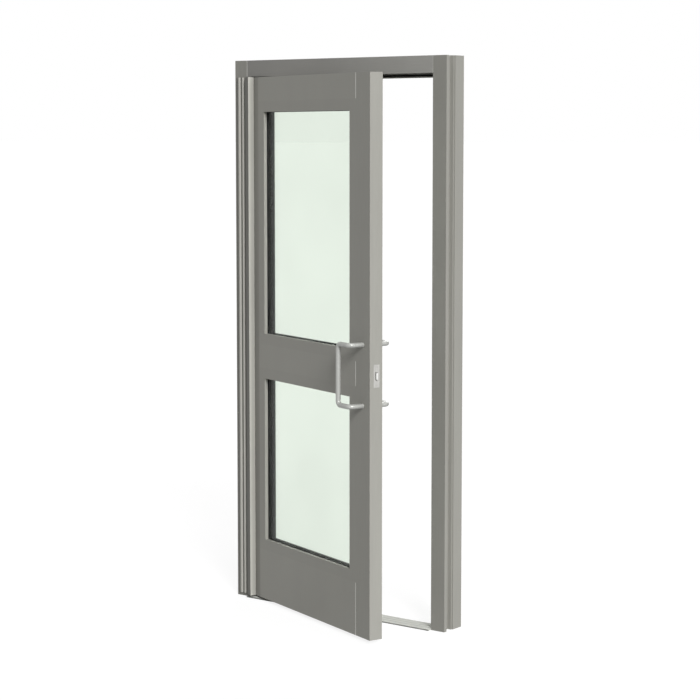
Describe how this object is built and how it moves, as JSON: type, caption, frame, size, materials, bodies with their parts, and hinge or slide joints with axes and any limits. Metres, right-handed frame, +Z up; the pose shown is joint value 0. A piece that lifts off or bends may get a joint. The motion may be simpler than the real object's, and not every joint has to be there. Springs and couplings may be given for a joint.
{
  "type": "glass door",
  "caption": "Aluminium framed glass door with its frame and threshold: glazed leaf with a middle rail, full-height continuous hinge, roller latch and offset bar pulls",
  "frame": {"origin": "on the floor under the threshold, midway between the jambs' outer sides, in the plane of the frame's front face", "axes": "X across the opening from hinge side to lock side, Y from the front to the back, Z up"},
  "size_m": [1.0414, 0.4731, 2.1971],
  "materials": {
    "anodised_aluminium": "clear anodised, satin",
    "black_rubber": "matt extruded rubber",
    "clear_glass": "clear float glass, polished",
    "grey_plastic": "moulded, matt",
    "hinge_aluminium": "clear anodised, satin",
    "latch_steel": "satin",
    "mill_aluminium": "mill finish, ribbed tread",
    "pull_metal": "satin, semi-bright",
    "spacer_metal": "black lacquered spacer bar",
    "zinc_steel": "zinc plated"
  },
  "bodies": {
    "frame": {"hinge_jamb": "anodised_aluminium", "hinge_packer": "anodised_aluminium", "lock_jamb": "anodised_aluminium", "header": "anodised_aluminium", "shear_blocks": "zinc_steel", "frame_screws": "zinc_steel", "head_stop": "anodised_aluminium", "hinge_stop": "anodised_aluminium", "lock_stop": "anodised_aluminium", "head_weatherstrip": "black_rubber", "hinge_weatherstrip": "black_rubber", "lock_weatherstrip": "black_rubber", "threshold": "mill_aluminium", "threshold_screws": "zinc_steel", "strike_plate": "latch_steel", "strike_screws": "zinc_steel", "hinge_frame_leaf": "hinge_aluminium", "hinge_cover": "hinge_aluminium", "hinge_frame_screws": "zinc_steel"},
    "leaf": {"back_pull": "pull_metal", "bottom_rail": "anodised_aluminium", "front_pull": "pull_metal", "hinge_bearings": "grey_plastic", "hinge_cap": "hinge_aluminium", "hinge_door_leaf": "hinge_aluminium", "hinge_door_screws": "zinc_steel", "hinge_stile": "anodised_aluminium", "latch_case": "zinc_steel", "latch_face": "latch_steel", "latch_screws": "zinc_steel", "lock_stile": "anodised_aluminium", "lower_back_gasket": "black_rubber", "lower_back_rail_stops": "anodised_aluminium", "lower_back_side_stops": "anodised_aluminium", "lower_front_gasket": "black_rubber", "lower_front_rail_stops": "anodised_aluminium", "lower_front_side_stops": "anodised_aluminium", "lower_inner_pane": "clear_glass", "lower_outer_pane": "clear_glass", "lower_spacer": "spacer_metal", "mid_rail": "anodised_aluminium", "pull_studs": "zinc_steel", "setting_blocks": "grey_plastic", "tie_rod_nuts": "zinc_steel", "tie_rods": "zinc_steel", "top_rail": "anodised_aluminium", "upper_back_gasket": "black_rubber", "upper_back_rail_stops": "anodised_aluminium", "upper_back_side_stops": "anodised_aluminium", "upper_front_gasket": "black_rubber", "upper_front_rail_stops": "anodised_aluminium", "upper_front_side_stops": "anodised_aluminium", "upper_inner_pane": "clear_glass", "upper_outer_pane": "clear_glass", "upper_spacer": "spacer_metal"},
    "carrier": {"roller_carrier": "latch_steel", "roller_pin": "zinc_steel"},
    "roller": {"latch_roller": "latch_steel"}
  },
  "joints": [
    {"name": "leaf_turn", "type": "hinge", "parent": "frame", "child": "leaf", "pos_m": [-0.4432, -0.014, 1.07], "axis": [0, 0, -1], "range_deg": [-20.64, 84.36]},
    {"name": "roller_slide", "type": "slide", "parent": "leaf", "child": "carrier", "axis": [-0.9358, 0.3525, 0], "range_m": [0, 0.0075], "stiffness_N_per_m": 1000, "springref_m": -0.002},
    {"name": "roller_spin", "type": "hinge", "parent": "carrier", "child": "roller", "pos_m": [0.41492, -0.29021, 1.0092], "axis": [0, 0, 1], "continuous": true}
  ]
}
